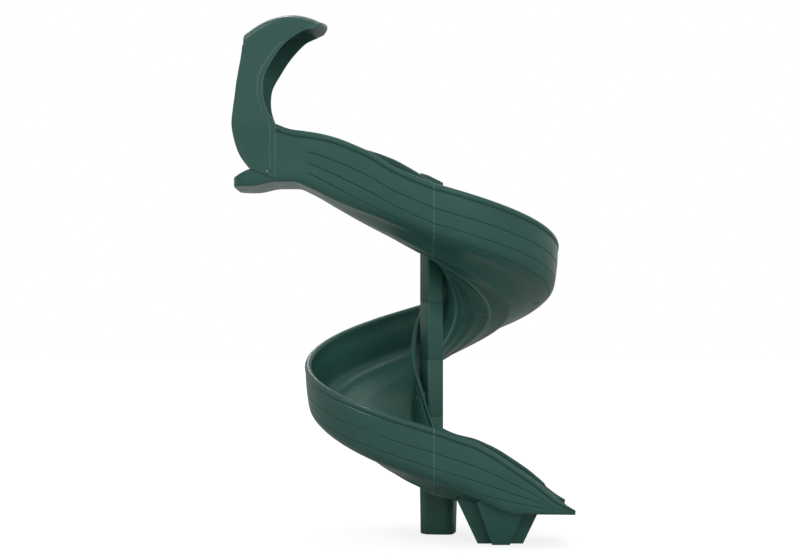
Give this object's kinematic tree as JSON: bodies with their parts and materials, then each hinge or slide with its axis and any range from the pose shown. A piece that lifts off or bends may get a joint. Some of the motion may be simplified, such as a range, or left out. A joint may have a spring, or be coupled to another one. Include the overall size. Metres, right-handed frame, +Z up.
{
  "type": "spiral slide",
  "caption": "Hooded spiral playground slide: moulded trough makes one full turn round a centre column, with deck sill, straight exit and supporting foot.",
  "frame": {"origin": "on the ground, on the axis of the centre column, at the underside of the column's leg", "axes": "+Z up; +X the way a child enters and leaves, from the hood towards the exit; the entry and the exit both lie on the -Y side of the column"},
  "size_m": [1.993, 1.5799, 3.1379],
  "materials": {
    "trough_plastic": "satin, fine moulded grain",
    "hood_plastic": "satin, fine moulded grain",
    "column_plastic": "fine moulded grain",
    "support_plastic": "fine moulded grain",
    "zinc_steel": "zinc plated"
  },
  "bodies": {
    "root": {"entry_section": "trough_plastic", "entry_hood": "hood_plastic", "spiral_section_1": "trough_plastic", "spiral_section_2": "trough_plastic", "spiral_section_3": "trough_plastic", "spiral_section_4": "trough_plastic", "exit_section": "trough_plastic", "column_sleeve_1": "column_plastic", "column_sleeve_2": "column_plastic", "column_sleeve_3": "column_plastic", "column_sleeve_4": "column_plastic", "column_sleeve_5": "column_plastic", "column_cap": "column_plastic", "column_leg": "support_plastic", "exit_foot": "support_plastic", "centre_post": "zinc_steel", "post_top_plug": "zinc_steel", "column_cap_bolt": "zinc_steel", "hub_bolt_1": "zinc_steel", "hub_bolt_2": "zinc_steel", "hub_bolt_3": "zinc_steel", "hub_bolt_4": "zinc_steel", "seam_bolt_1": "zinc_steel", "seam_nut_1": "zinc_steel", "rim_screw_1": "zinc_steel", "seam_bolt_2": "zinc_steel", "seam_nut_2": "zinc_steel", "rim_screw_2": "zinc_steel", "seam_bolt_3": "zinc_steel", "seam_nut_3": "zinc_steel", "rim_screw_3": "zinc_steel", "seam_bolt_4": "zinc_steel", "seam_nut_4": "zinc_steel", "rim_screw_4": "zinc_steel", "seam_bolt_5": "zinc_steel", "seam_nut_5": "zinc_steel", "rim_screw_5": "zinc_steel", "hood_bolt_near": "zinc_steel", "hood_bolt_far": "zinc_steel", "hood_nut_near": "zinc_steel", "hood_nut_far": "zinc_steel", "exit_foot_screw_1": "zinc_steel", "exit_foot_screw_2": "zinc_steel", "hub_bracket_1": "support_plastic", "hub_bracket_2": "support_plastic", "hub_bracket_3": "support_plastic", "hub_bracket_4": "support_plastic"}
  },
  "joints": []
}
